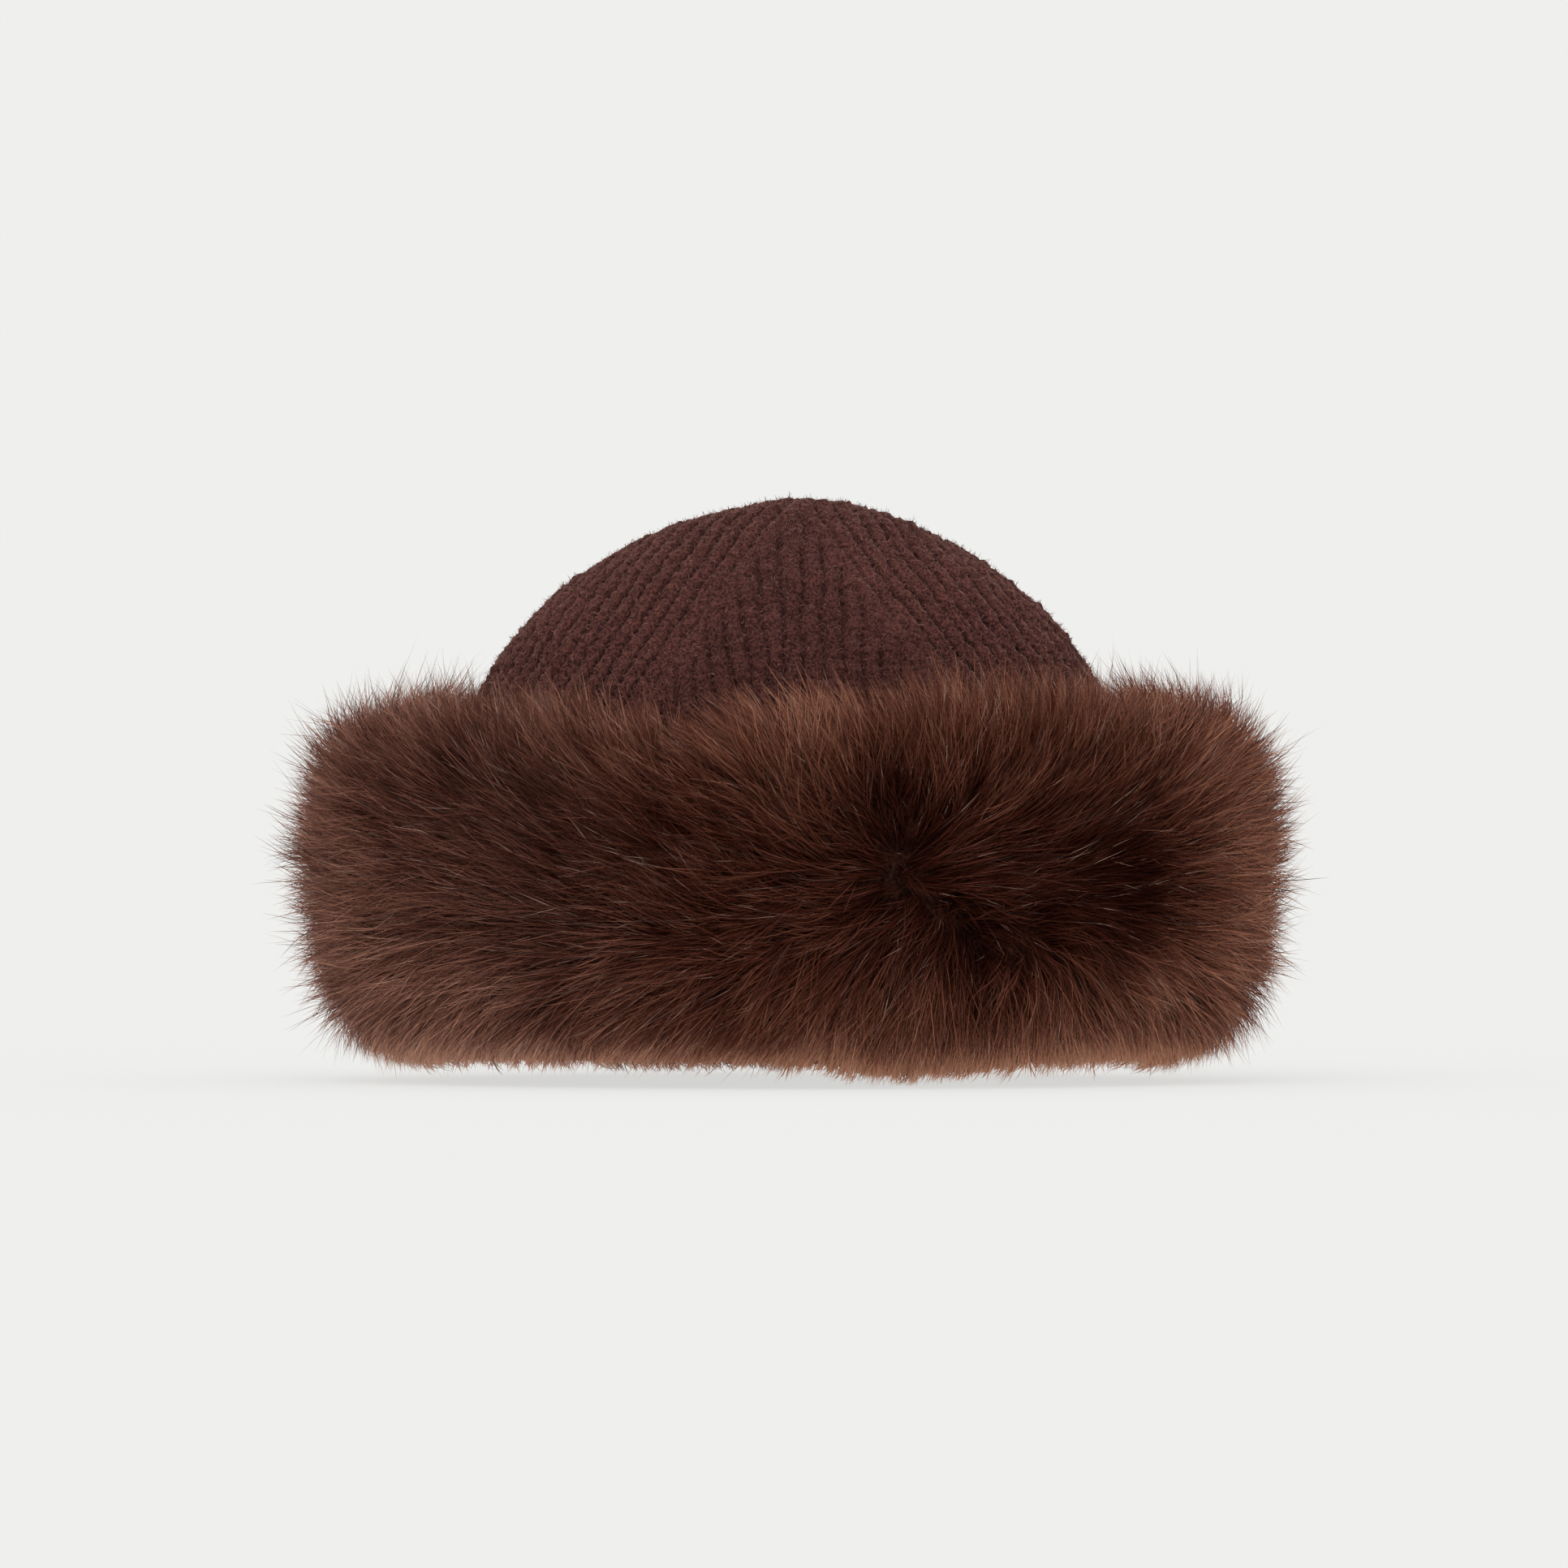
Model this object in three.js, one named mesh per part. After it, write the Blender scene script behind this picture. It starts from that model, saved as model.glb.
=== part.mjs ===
// Knitted cap with a deep faux fur brim. Millimetres, +Z up, the wearer's front towards -Y.
// The origin is on the surface that the cap stands on, under the middle of its oval opening.
// Two pieces: a rib-knitted crown that runs down inside the brim to the rim, and a band of long-pile
// faux fur sewn round it, whose pile is a field of combed locks raised from the band's backing.
import * as THREE from "three";
import { mergeVertices } from "three/addons/utils/BufferGeometryUtils.js";

// Driving sizes
const CAP_HEIGHT = 183;
const RIM_HALF_WIDTH = 110.5; // half the knit's oval, left to right, at the middle of its ribs
const OVAL = 0.665; // front-to-back size of every oval over its left-to-right size
const KNIT_WALL = 3.3; // from the middle of the ribs to the inside of the knit
const RIB_PITCH = 6.2;
const RIB_RELIEF = 2.2;
const RIM_HEIGHT = 3; // the knit's lower edge above the surface
const SEWING_GAP = 0.35; // between the knit's ribs and the brim's backing

// The crown's side outline is an arch: half-width^2 = ARCH_OPEN * drop - ARCH_CLOSE * drop^2, with drop
// measured down from the top, and drawn in near the top, where the gores' last ribs are gathered. The brim
// holds it in to the rim's width further down.
const ARCH_OPEN = 195;
const ARCH_CLOSE = 0.47;
const ARCH_BLEND = 10; // how softly the arch turns into the upright wall
const GATHERED = 0.5; // how much of half-width^2 is drawn in at the very top
const GATHER_REACH = 9;
const TOP_LEAN = 4; // the very top sits this far to the right of the middle
const LEAN_POWER = 14;
// Each row of the crown's ribs is one knitted course: how far it lies below the top.
const COURSE_DROPS = [1.2, 4, 8, 13, 19, 26, 34, 43, 53, 64, 76, 90, 130, CAP_HEIGHT - RIM_HEIGHT];
const GORE_SPREAD = 0.74; // the front and back gores' half-width grows by this for each mm of drop
const GORE_SHARE_MAX = 0.6; // of a quarter round: as far as the gores' edges run out

function crownHalfWidth(drop) {
  const gathered = 1 - GATHERED * Math.exp(-drop / GATHER_REACH);
  const arch = Math.sqrt((ARCH_OPEN * drop - ARCH_CLOSE * drop * drop) * gathered);
  const blended = Math.exp(-arch / ARCH_BLEND) + Math.exp(-RIM_HALF_WIDTH / ARCH_BLEND);
  return -Math.log(blended) * ARCH_BLEND;
}

// A point of an oval, by its angle from the front towards the right, and the way out of the oval there
function oval(halfWidth, angle) {
  const halfDepth = halfWidth * OVAL;
  const outward = new THREE.Vector2(Math.sin(angle) / halfWidth, -Math.cos(angle) / halfDepth).normalize();
  return { x: halfWidth * Math.sin(angle), y: -halfDepth * Math.cos(angle), outward };
}

// Lengths along a quarter of an oval, from the front, and the angle that lies at a given length
const QUARTER = Math.PI / 2;
const ARC_STEPS = 90;
function quarterLengths(halfWidth) {
  const lengths = [0];
  for (let i = 1; i <= ARC_STEPS; i++) {
    const a = oval(halfWidth, ((i - 1) / ARC_STEPS) * QUARTER);
    const b = oval(halfWidth, (i / ARC_STEPS) * QUARTER);
    lengths.push(lengths[i - 1] + Math.hypot(b.x - a.x, b.y - a.y));
  }
  return lengths;
}

function angleAt(lengths, along) {
  let i = 1;
  while (i < ARC_STEPS && lengths[i] < along) i++;
  const share = (along - lengths[i - 1]) / (lengths[i] - lengths[i - 1]);
  return ((i - 1 + Math.min(1, share)) / ARC_STEPS) * QUARTER;
}

// Triangles gathered into one mesh
class Faces {
  positions = [];
  triangle(a, b, c) {
    for (const p of [a, b, c]) this.positions.push(p.x, p.y, p.z);
  }
  geometry() {
    const made = new THREE.BufferGeometry();
    made.setAttribute("position", new THREE.Float32BufferAttribute(this.positions, 3));
    return mergeVertices(made, 1e-3);
  }
}

// Knitted crown
// A quarter of a course is two runs of half-ribs: the gore, counted from the middle of the front, and the
// side, counted from the gore's edge. So the side's ribs run beside that edge, and end at the cap's side.
const ROUNDED_ABOVE = 25; // ribs flatten where the course is narrower than this
function courseQuarter(drop) {
  const halfWidth = crownHalfWidth(drop);
  const slope = crownHalfWidth(drop + 0.5) - crownHalfWidth(drop - 0.5);
  const lengths = quarterLengths(halfWidth);
  const quarter = lengths[ARC_STEPS];
  const goreEdge = Math.min(GORE_SPREAD * drop, GORE_SHARE_MAX * quarter);
  const halfRib = RIB_PITCH / 2;
  const run = (from, to, endsOnRidge) => {
    const places = [{ along: from, ridge: true }];
    for (let k = 1; from + (k + 0.3) * halfRib < to; k++) {
      places.push({ along: from + k * halfRib, ridge: k % 2 === 0 });
    }
    places.push({ along: to, ridge: endsOnRidge });
    return places;
  };
  const place = ({ along, ridge }) => {
    const { x, y, outward } = oval(halfWidth, angleAt(lengths, along));
    const across = new THREE.Vector3(outward.x, outward.y, slope).normalize();
    const relief = (RIB_RELIEF / 2) * Math.min(1, halfWidth / ROUNDED_ABOVE);
    return new THREE.Vector3(x, y, CAP_HEIGHT - drop).addScaledVector(across, ridge ? relief : -relief);
  };
  return [run(0, goreEdge, true).map(place), run(goreEdge, quarter, false).map(place)];
}

// A quarter of a smooth oval inside the wall. In the dome the wall's thickness lies more downwards.
const INSIDE_STEPS = 10;
const DOME_DROP = 60;
function insideQuarter(drop) {
  const halfWidth = crownHalfWidth(drop) - KNIT_WALL;
  const lengths = quarterLengths(halfWidth);
  const height = CAP_HEIGHT - drop - KNIT_WALL * Math.max(0, 1 - drop / DOME_DROP);
  return Array.from({ length: INSIDE_STEPS + 1 }, (_, i) => {
    const { x, y } = oval(halfWidth, angleAt(lengths, (i / INSIDE_STEPS) * lengths[ARC_STEPS]));
    return new THREE.Vector3(x, y, height);
  });
}

// Joins two runs, point to point from their starts. What one run has more of is taken in at the other's end.
function joinRuns(add, lower, upper) {
  const [lowEnd, topEnd] = [lower.length - 1, upper.length - 1];
  for (let i = 0; i < Math.min(lowEnd, topEnd); i++) {
    add(lower[i], lower[i + 1], upper[i + 1]);
    add(lower[i], upper[i + 1], upper[i]);
  }
  for (let i = topEnd; i < lowEnd; i++) add(lower[i], lower[i + 1], upper[topEnd]);
  for (let i = lowEnd; i < topEnd; i++) add(lower[lowEnd], upper[i + 1], upper[i]);
}

// The knit's lower edge, a flat strip between the ribbed outside and the smooth inside
function joinRim(add, outer, inner) {
  let i = 0;
  let j = 0;
  while (i < outer.length - 1 || j < inner.length - 1) {
    const outerShare = (i + 1) / (outer.length - 1);
    const innerShare = (j + 1) / (inner.length - 1);
    if (outerShare <= Math.min(1, innerShare)) {
      add(outer[i + 1], outer[i], inner[j]);
      i++;
    } else {
      add(outer[i], inner[j], inner[j + 1]);
      j++;
    }
  }
}

function knitCrown() {
  const faces = new Faces();
  const lean = (p) => new THREE.Vector3(p.x + TOP_LEAN * (p.z / CAP_HEIGHT) ** LEAN_POWER, p.y, p.z);
  const top = lean(new THREE.Vector3(0, 0, CAP_HEIGHT));
  const insideDrops = COURSE_DROPS.filter((_, i) => i % 2 === 1);
  const insideTop = lean(new THREE.Vector3(0, 0, CAP_HEIGHT - insideDrops[0] - KNIT_WALL / 2));
  for (const [sideX, sideY] of [[1, 1], [-1, 1], [1, -1], [-1, -1]]) {
    const facing = (a, b, c) => faces.triangle(a, b, c);
    const turned = (a, b, c) => faces.triangle(a, c, b);
    const [out, inn] = sideX * sideY > 0 ? [facing, turned] : [turned, facing];
    const put = (p) => lean(new THREE.Vector3(p.x * sideX, p.y * sideY, p.z));
    const courses = COURSE_DROPS.map((drop) => courseQuarter(drop).map((run) => run.map(put)));
    const insides = insideDrops.map((drop) => insideQuarter(drop).map(put));
    for (const side of [0, 1]) {
      const runs = courses.map((course) => course[side]);
      joinRuns(out, runs[0], [top]);
      for (let row = 1; row < runs.length; row++) joinRuns(out, runs[row], runs[row - 1]);
    }
    joinRuns(inn, insides[0], [insideTop]);
    for (let row = 1; row < insides.length; row++) joinRuns(inn, insides[row], insides[row - 1]);
    const [goreRim, sideRim] = courses.at(-1);
    joinRim(out, [...goreRim, ...sideRim.slice(1)], insides.at(-1));
  }
  return faces.geometry();
}

// Faux fur brim
// The brim's section, outwards from the knit and up from the surface: the flat it rests on, the rounded
// hem, the upright face, the shoulder, and the top edge that leans on the crown. Pile is the share of its
// full length that stands between a row and the next one.
const BRIM_SECTION = [
  { out: 0, up: 1.5, pile: 0 },
  { out: 2, up: 0, pile: 0 },
  { out: 9, up: 0, pile: 0.4 },
  { out: 16, up: 4, pile: 0.7 },
  { out: 24, up: 13, pile: 0.9 },
  { out: 30.5, up: 24, pile: 1 },
  { out: 34.5, up: 36.5, pile: 1 },
  { out: 37, up: 49, pile: 1 },
  { out: 38, up: 62, pile: 1 },
  { out: 38, up: 75, pile: 1 },
  { out: 37.5, up: 87, pile: 1 },
  { out: 35.5, up: 99, pile: 1 },
  { out: 29, up: 109, pile: 1 },
  { out: 17.5, up: 115, pile: 0.9 },
  { out: 4.5, up: 116, pile: 0.5 },
  { out: -2.4, up: 111.5, pile: 0 },
  { out: -1.3, up: 98, pile: 0 },
  { out: -0.4, up: 84, pile: 0 },
];
// How the top edge rises and falls round the cap: degrees from the front towards the right, and mm.
const TOP_EDGE = [
  { at: -180, rise: 0 },
  { at: -95, rise: -2 },
  { at: -45, rise: -4 },
  { at: -16, rise: -11 },
  { at: 2, rise: -4 },
  { at: 45, rise: -1 },
  { at: 75, rise: 0 },
  { at: 110, rise: 0 },
  { at: 180, rise: 0 },
];
const EDGE_FROM = 60; // the rise starts at this height, and is whole at EDGE_TO
const EDGE_TO = 112;
const STATIONS = 60; // points of a row round the cap
const LOCK_STAND = 8.5; // how far a lock's tip stands off the backing
const LOCK_LIE = 12; // how far it is combed along it
const TIP_CLEAR = 0.6; // no tip comes nearer to the surface
// The pile is combed outwards from one whorl on the right of the front, and stands up close to it.
const WHORL = { angle: THREE.MathUtils.degToRad(44), up: 60, calm: 30 };
const COMB_RISE = 1.5; // how much sooner the pile turns up or down than sideways
const BRIM_HALF_WIDTH = RIM_HALF_WIDTH + RIB_RELIEF / 2 + SEWING_GAP;

function topRise(angle) {
  const degrees = THREE.MathUtils.radToDeg(angle);
  const after = TOP_EDGE.findIndex((row, i) => i > 0 && row.at >= degrees);
  const [a, b] = [TOP_EDGE[after - 1], TOP_EDGE[after]];
  return a.rise + (b.rise - a.rise) * THREE.MathUtils.smoothstep(degrees, a.at, b.at);
}

// A point of the brim, by its angle from the front towards the right and its place in the section
function brimPoint(angle, { out, up }) {
  const { x, y, outward } = oval(BRIM_HALF_WIDTH, angle);
  const height = up + topRise(angle) * THREE.MathUtils.smoothstep(up, EDGE_FROM, EDGE_TO);
  return new THREE.Vector3(x + outward.x * out, y + outward.y * out, height);
}

// The way the pile is combed at a place: x towards the right round the cap, y up
function combing(angle, up) {
  let round = angle - WHORL.angle;
  if (round < -Math.PI) round += 2 * Math.PI;
  const away = new THREE.Vector2(round * BRIM_HALF_WIDTH, (up - WHORL.up) * COMB_RISE);
  const strength = Math.min(1, away.length() / WHORL.calm);
  return away.normalize().multiplyScalar(strength);
}

// A fixed number from -0.5 to 0.5 for each lock, so that no two stand alike
function vary(row, i, what) {
  const wave = Math.sin(row * 127.1 + i * 311.7 + what * 74.7) * 43758.5453;
  return wave - Math.floor(wave) - 0.5;
}

// A lock of pile: three faces from its footing on the backing to its tip
function lock(faces, footing, pile, row, i) {
  const [a, b, c] = footing;
  const tip = new THREE.Vector3().add(a).add(b).add(c).divideScalar(3);
  const off = new THREE.Vector3().crossVectors(b.clone().sub(a), c.clone().sub(a)).normalize();
  const round = new THREE.Vector3(-off.y, off.x, 0).normalize();
  const rise = new THREE.Vector3().crossVectors(off, round);
  const angle = Math.atan2(tip.x, -tip.y / OVAL);
  const combed = combing(angle, tip.z);
  tip.addScaledVector(off, LOCK_STAND * pile * (1 + 0.7 * vary(row, i, 1)));
  tip.addScaledVector(round, LOCK_LIE * pile * (combed.x + 0.5 * vary(row, i, 2)));
  tip.addScaledVector(rise, LOCK_LIE * pile * (combed.y + 0.5 * vary(row, i, 3)));
  tip.z = Math.max(tip.z, TIP_CLEAR);
  for (const [p, q] of [[a, b], [b, c], [c, a]]) faces.triangle(p, q, tip);
}

function furBrim() {
  const faces = new Faces();
  // Odd rows stand half a step round from even ones, so that the locks are staggered.
  const point = (row, i) => {
    const turn = (((i + (row % 2) / 2) / STATIONS + 0.5) % 1) - 0.5;
    return brimPoint(turn * 2 * Math.PI, BRIM_SECTION[row]);
  };
  BRIM_SECTION.forEach(({ pile }, row) => {
    const above = (row + 1) % BRIM_SECTION.length;
    for (let i = 0; i < STATIONS; i++) {
      const [a, b, c, d] = [point(row, i), point(row, i + 1), point(above, i), point(above, i + 1)];
      const pair = row % 2 ? [[a, d, c], [a, b, d]] : [[a, b, c], [b, d, c]];
      pair.forEach((footing, half) => {
        if (pile > 0) lock(faces, footing, pile, row, i * 2 + half);
        else faces.triangle(...footing);
      });
    }
  });
  return faces.geometry();
}

// The cap
const brushedYarn = new THREE.MeshStandardMaterial({ color: 0x55393a, roughness: 0.95, metalness: 0 });
const longPile = new THREE.MeshStandardMaterial({ color: 0x4a2c21, roughness: 0.7, metalness: 0 });

function piece(name, geometry, material) {
  const mesh = new THREE.Mesh(geometry, material);
  mesh.name = name;
  return mesh;
}

const cap = new THREE.Group();
cap.add(piece("knit_crown", knitCrown(), brushedYarn));
cap.add(piece("fur_brim", furBrim(), longPile));

export default cap;
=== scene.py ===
"""Knitted cap with a deep faux fur brim, dressed for a studio photograph."""
import math

import bmesh
import bpy
import numpy as np
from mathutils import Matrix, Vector
from mathutils.kdtree import KDTree


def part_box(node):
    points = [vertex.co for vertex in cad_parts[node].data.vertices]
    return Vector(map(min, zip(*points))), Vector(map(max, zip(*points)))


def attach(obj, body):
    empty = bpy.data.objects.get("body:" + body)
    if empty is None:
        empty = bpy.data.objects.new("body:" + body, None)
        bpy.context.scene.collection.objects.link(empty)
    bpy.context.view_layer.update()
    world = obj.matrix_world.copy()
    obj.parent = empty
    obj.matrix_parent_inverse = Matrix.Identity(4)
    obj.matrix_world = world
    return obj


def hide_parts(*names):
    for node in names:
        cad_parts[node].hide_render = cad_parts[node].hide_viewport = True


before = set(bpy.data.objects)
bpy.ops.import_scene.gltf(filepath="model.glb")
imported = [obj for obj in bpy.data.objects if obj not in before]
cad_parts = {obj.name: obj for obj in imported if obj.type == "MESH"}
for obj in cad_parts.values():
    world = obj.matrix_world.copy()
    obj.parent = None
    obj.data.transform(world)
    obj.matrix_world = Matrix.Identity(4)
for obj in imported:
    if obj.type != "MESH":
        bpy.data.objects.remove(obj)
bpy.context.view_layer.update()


# Camera
# A studio photograph from straight in front and a little above the table, through a long lens. The square
# frame is 493 mm wide where the cap stands, and its centre lies just left of the cap's middle.
MM = 0.001
PHOTO_PX = 1932
MM_PER_PHOTO_PX = 0.2553
LENS = 400
SENSOR = 36
LOOKED_AT = Vector((-2, 0, 93.4)) * MM
LOOKING_DOWN = math.radians(0.6)
FAR = 80

distance = PHOTO_PX * MM_PER_PHOTO_PX * MM * LENS / SENSOR
camera = bpy.data.objects.new("camera", bpy.data.cameras.new("camera"))
camera.data.lens = LENS
camera.data.sensor_width = SENSOR
camera.data.clip_end = FAR
camera.location = LOOKED_AT + distance * Vector((0, -math.cos(LOOKING_DOWN), math.sin(LOOKING_DOWN)))
camera.rotation_euler = (math.pi / 2 - LOOKING_DOWN, 0, 0)
bpy.context.scene.collection.objects.link(camera)
bpy.context.scene.camera = camera


# Knitted crown
# One piece of chunky rib knit in brushed wool: a dome in four gores, where the ribs of the sides meet those
# of the front and back along a raised line of decreases. It runs down inside the brim to its rim.
# The sizes are in mm, as in the knitting pattern.
CAP_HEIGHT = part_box("knit_crown")[1].z / MM
RIM_HALF_WIDTH = 110.5
OVAL = 0.665
KNIT_WALL = 3.3
RIB_PITCH = 6.2
RIB_RELIEF = 2.2
RIB_FLATNESS = 4.6
STITCH_HEIGHT = 2.9
RIM_HEIGHT = 8
ARCH_OPEN = 195
ARCH_CLOSE = 0.47
ARCH_BLEND = 10
GATHERED = 0.5
GATHER_REACH = 9
TOP_LEAN = 4
LEAN_POWER = 24
GORE_SPREADS = (0.7, 0.78)  # how fast the front gore widens down to the left and to the right
GORE_FAN = 0.15  # how far the gore's ribs on its left lean outwards, going up from this drop
FAN_DROP = 37
FAN_REACH = 8
GORE_SHARE_MAX = 0.6
DECREASE_WIDTH = 1.8  # of the raised line of decreases
CALM_HALF_WIDTH = 25  # where the crown is narrower than this, its relief gets lower towards the top
WALL_BLEND = 60  # at this drop the wall has come upright
FRONT_SHIFT = 1.4  # the ribs of the front lie this far to the right
COLUMN_STEP = RIB_PITCH / 8  # the mesh's columns and rows over the knit that shows
ROW_STEP = 0.75
SEEN_DROP = 84  # the brim hides the knit that lies further below the top
HIDDEN_DROPS = [100, 125, 155, CAP_HEIGHT - RIM_HEIGHT]
INSIDE_DROPS = [155, 125, 105, 92, 82, 72, 63, 54, 46, 39, 32, 26, 20, 15, 11, 7.5, 4.5, 2, 0.5, 0]
INSIDE_COARSENESS = 6  # the inside is smoother, and takes this many columns as one
SMALLEST = 0.01


def crown_half_width(drop):
    """Half the crown from left to right, at a depth below its top"""
    gathered = 1 - GATHERED * np.exp(-drop / GATHER_REACH)
    arch = np.sqrt(np.maximum(ARCH_OPEN * drop - ARCH_CLOSE * drop**2, 0) * gathered)
    blended = np.exp(-arch / ARCH_BLEND) + np.exp(-RIM_HALF_WIDTH / ARCH_BLEND)
    return np.maximum(-ARCH_BLEND * np.log(blended), SMALLEST)


def waves(points, length, seed, count=16):
    """Soft unevenness of unit size at points in mm, as a sum of waves of about that length"""
    draw = np.random.default_rng(seed)
    ways = draw.normal(size=(count, 3))
    ways *= (2 * np.pi / length * draw.uniform(0.7, 1.4, count) / np.linalg.norm(ways, axis=1))[:, None]
    return np.cos(points @ ways.T + draw.uniform(0, 2 * np.pi, count)).sum(-1) / math.sqrt(count / 2)


def unit(vectors):
    return vectors / np.maximum(np.linalg.norm(vectors, axis=-1, keepdims=True), 1e-9)


def smooth_step(value, low, high):
    t = np.clip((value - low) / (high - low), 0, 1)
    return t * t * (3 - 2 * t)


quarter_angles = np.linspace(0, np.pi / 2, 91)


def quarter_lengths(half_width):
    """Lengths along a quarter of an oval, from the front"""
    x = half_width * np.sin(quarter_angles)
    y = half_width * OVAL * np.cos(quarter_angles)
    return np.concatenate([[0], np.cumsum(np.hypot(np.diff(x), np.diff(y)))])


# The course's number at a drop is the way down the dome, over the height of a stitch.
fine_drops = np.linspace(0, CAP_HEIGHT, 2000)
mean_oval = (1 + OVAL) / 2
way_steps = np.hypot(np.diff(fine_drops), np.diff(crown_half_width(fine_drops)) * mean_oval)
way_down = np.concatenate([[0], np.cumsum(way_steps)])
seen_end = np.interp(SEEN_DROP, fine_drops, way_down)
seen_way = np.linspace(0, seen_end, int(seen_end / ROW_STEP))
SEEN_ROWS = len(seen_way)
outer_drops = np.concatenate([np.interp(seen_way, way_down, fine_drops), HIDDEN_DROPS])

# A quarter's columns: the gore's from the middle of the front, then the side's from the gore's edge
seen_quarter = quarter_lengths(crown_half_width(SEEN_DROP))[-1]
gore_columns = math.ceil(max(GORE_SPREADS) * SEEN_DROP / COLUMN_STEP)
side_columns = math.ceil((seen_quarter - min(GORE_SPREADS) * SEEN_DROP) / COLUMN_STEP)
quarter_columns = gore_columns + side_columns
there = np.arange(quarter_columns + 1)
# Folded out to the whole round: front to right, to the back, to the left, to the front
fold_out = np.concatenate([there, there[-2::-1], there[1:], there[-2::-1]])
round_columns = len(fold_out)
on_right = np.arange(round_columns) <= 2 * quarter_columns
on_front = np.abs(np.arange(round_columns) - 2 * quarter_columns) >= quarter_columns
side_signs = np.stack([np.where(on_right, 1, -1), np.where(on_front, 1, -1), np.ones(round_columns)], 1)


def quarter_places(drop, inset, spread, seen):
    """Where a quarter's columns lie along a row of the knit, and where its gore's edge is, in mm. A column
    that has no room left in a seen row lies on the gore's edge or on the quarter's end."""
    lengths = quarter_lengths(max(crown_half_width(drop) - inset, SMALLEST))
    gore_edge = min(spread * drop, GORE_SHARE_MAX * lengths[-1])
    if seen:
        gore = np.minimum(there[:gore_columns + 1] * COLUMN_STEP, gore_edge)
        side = np.minimum(gore_edge + there[:side_columns + 1] * COLUMN_STEP, lengths[-1])
    else:
        coarse = INSIDE_COARSENESS if inset else 1
        share = np.minimum(np.ceil(there / coarse) * coarse / gore_columns, 1)[:gore_columns + 1]
        gore = share * gore_edge
        share = np.minimum(np.ceil(there / coarse) * coarse / side_columns, 1)[:side_columns + 1]
        side = gore_edge + share * (lengths[-1] - gore_edge)
    return np.concatenate([gore, side[1:]]), gore_edge, lengths


def knit_course(drop, inset=0):
    """One row of the knit all round: its points in mm, the ways out of it, and at each point the rib's number
    as the gore and as the side count it, the course's number, how flat the ribs are stretched, and how
    close they lie"""
    seen = not inset and drop <= SEEN_DROP
    half_width = max(crown_half_width(drop) - inset, SMALLEST)
    slope = crown_half_width(drop + 0.5) - crown_half_width(max(drop - 0.5, 0))
    sides = []
    for spread in GORE_SPREADS:
        along, gore_edge, lengths = quarter_places(drop, inset, spread, seen)
        sides.append([along, np.full(len(along), gore_edge), np.interp(along, lengths, quarter_angles)])
    along, gore_edge, angle = (np.where(on_right, r[fold_out], l[fold_out]) for l, r in zip(*sides))
    points = np.column_stack([half_width * np.sin(angle), -half_width * OVAL * np.cos(angle), 0 * angle])
    points[:, 2] = CAP_HEIGHT - drop - inset * max(0, 1 - drop / WALL_BLEND)
    outward = unit(np.column_stack([np.sin(angle), -np.cos(angle) / OVAL]))
    outward = unit(np.column_stack([outward, np.full(len(angle), slope)])) * side_signs
    points = points * side_signs
    calm = min(1, half_width / CALM_HALF_WIDTH)
    wander = 0.3 * calm * waves(points, 17, 5)
    fan = np.where(on_front & ~on_right, 1 - np.exp(-along / FAN_REACH), 0) * GORE_FAN * (FAN_DROP - drop)
    from_gore = (along - fan + wander) / RIB_PITCH
    from_side = (along - gore_edge + wander) / RIB_PITCH
    rib = np.where(along < gore_edge, from_gore, from_side)
    phase = np.interp(drop, fine_drops, way_down) / STITCH_HEIGHT + 0.16 * waves(points, 21, 6)
    stitch = np.cos(2 * np.pi * phase)
    across = 2 * np.abs(rib - np.rint(rib))  # 0 on a ridge, 1 in a valley
    across = np.clip(across * (1 + 0.09 * stitch) + 0.07 * waves(points, 3, 9), 0, 1)
    # Beside the raised line of decreases the ribs are stretched flat.
    past_edge = along - gore_edge
    border = np.exp(-((past_edge / DECREASE_WIDTH) ** 2))
    reach = np.where(past_edge > 0, 7, 4) * np.minimum(0.25 + gore_edge / 40, 1)
    stretched = 0.8 * np.exp(-((past_edge / reach) ** 2))
    # The gore's ribs lie close together, and the sides' are pulled a little apart.
    close = 0.88 + 0.4 * (1 - smooth_step(past_edge, -5, 3))
    body = 1 - across**RIB_FLATNESS
    body = body + (1 - body) * stretched
    height = RIB_RELIEF * (body - 0.6) * calm * close
    # Stitches and hand-knitted unevenness: each part is so many mm high, in waves so many mm long.
    if seen:
        pit = smooth_step(across, 0.6, 1) * (0.5 + 0.5 * stitch) * (1 - stretched)
        height = height + calm * (0.12 * stitch - 0.5 * pit + 0.35 * border * on_right)
        height = height + 0.24 * waves(points, 3.4, 7) + 0.16 * waves(points, 1.9, 8)
    height = height + calm * (0.3 * waves(points, 26, 3) + 0.2 * waves(points, 8, 4))
    if inset:
        height = 0.3 * height
    points = points + outward * height[:, None]
    points[:, 0] += TOP_LEAN * (points[:, 2] / CAP_HEIGHT) ** LEAN_POWER
    points[:, 0] += FRONT_SHIFT * np.maximum(-outward[:, 1], 0) ** 2 * calm
    as_gore = np.where(fold_out <= gore_columns, from_gore, from_side)
    return points, outward, (as_gore, from_side, phase, stretched, close)


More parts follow.
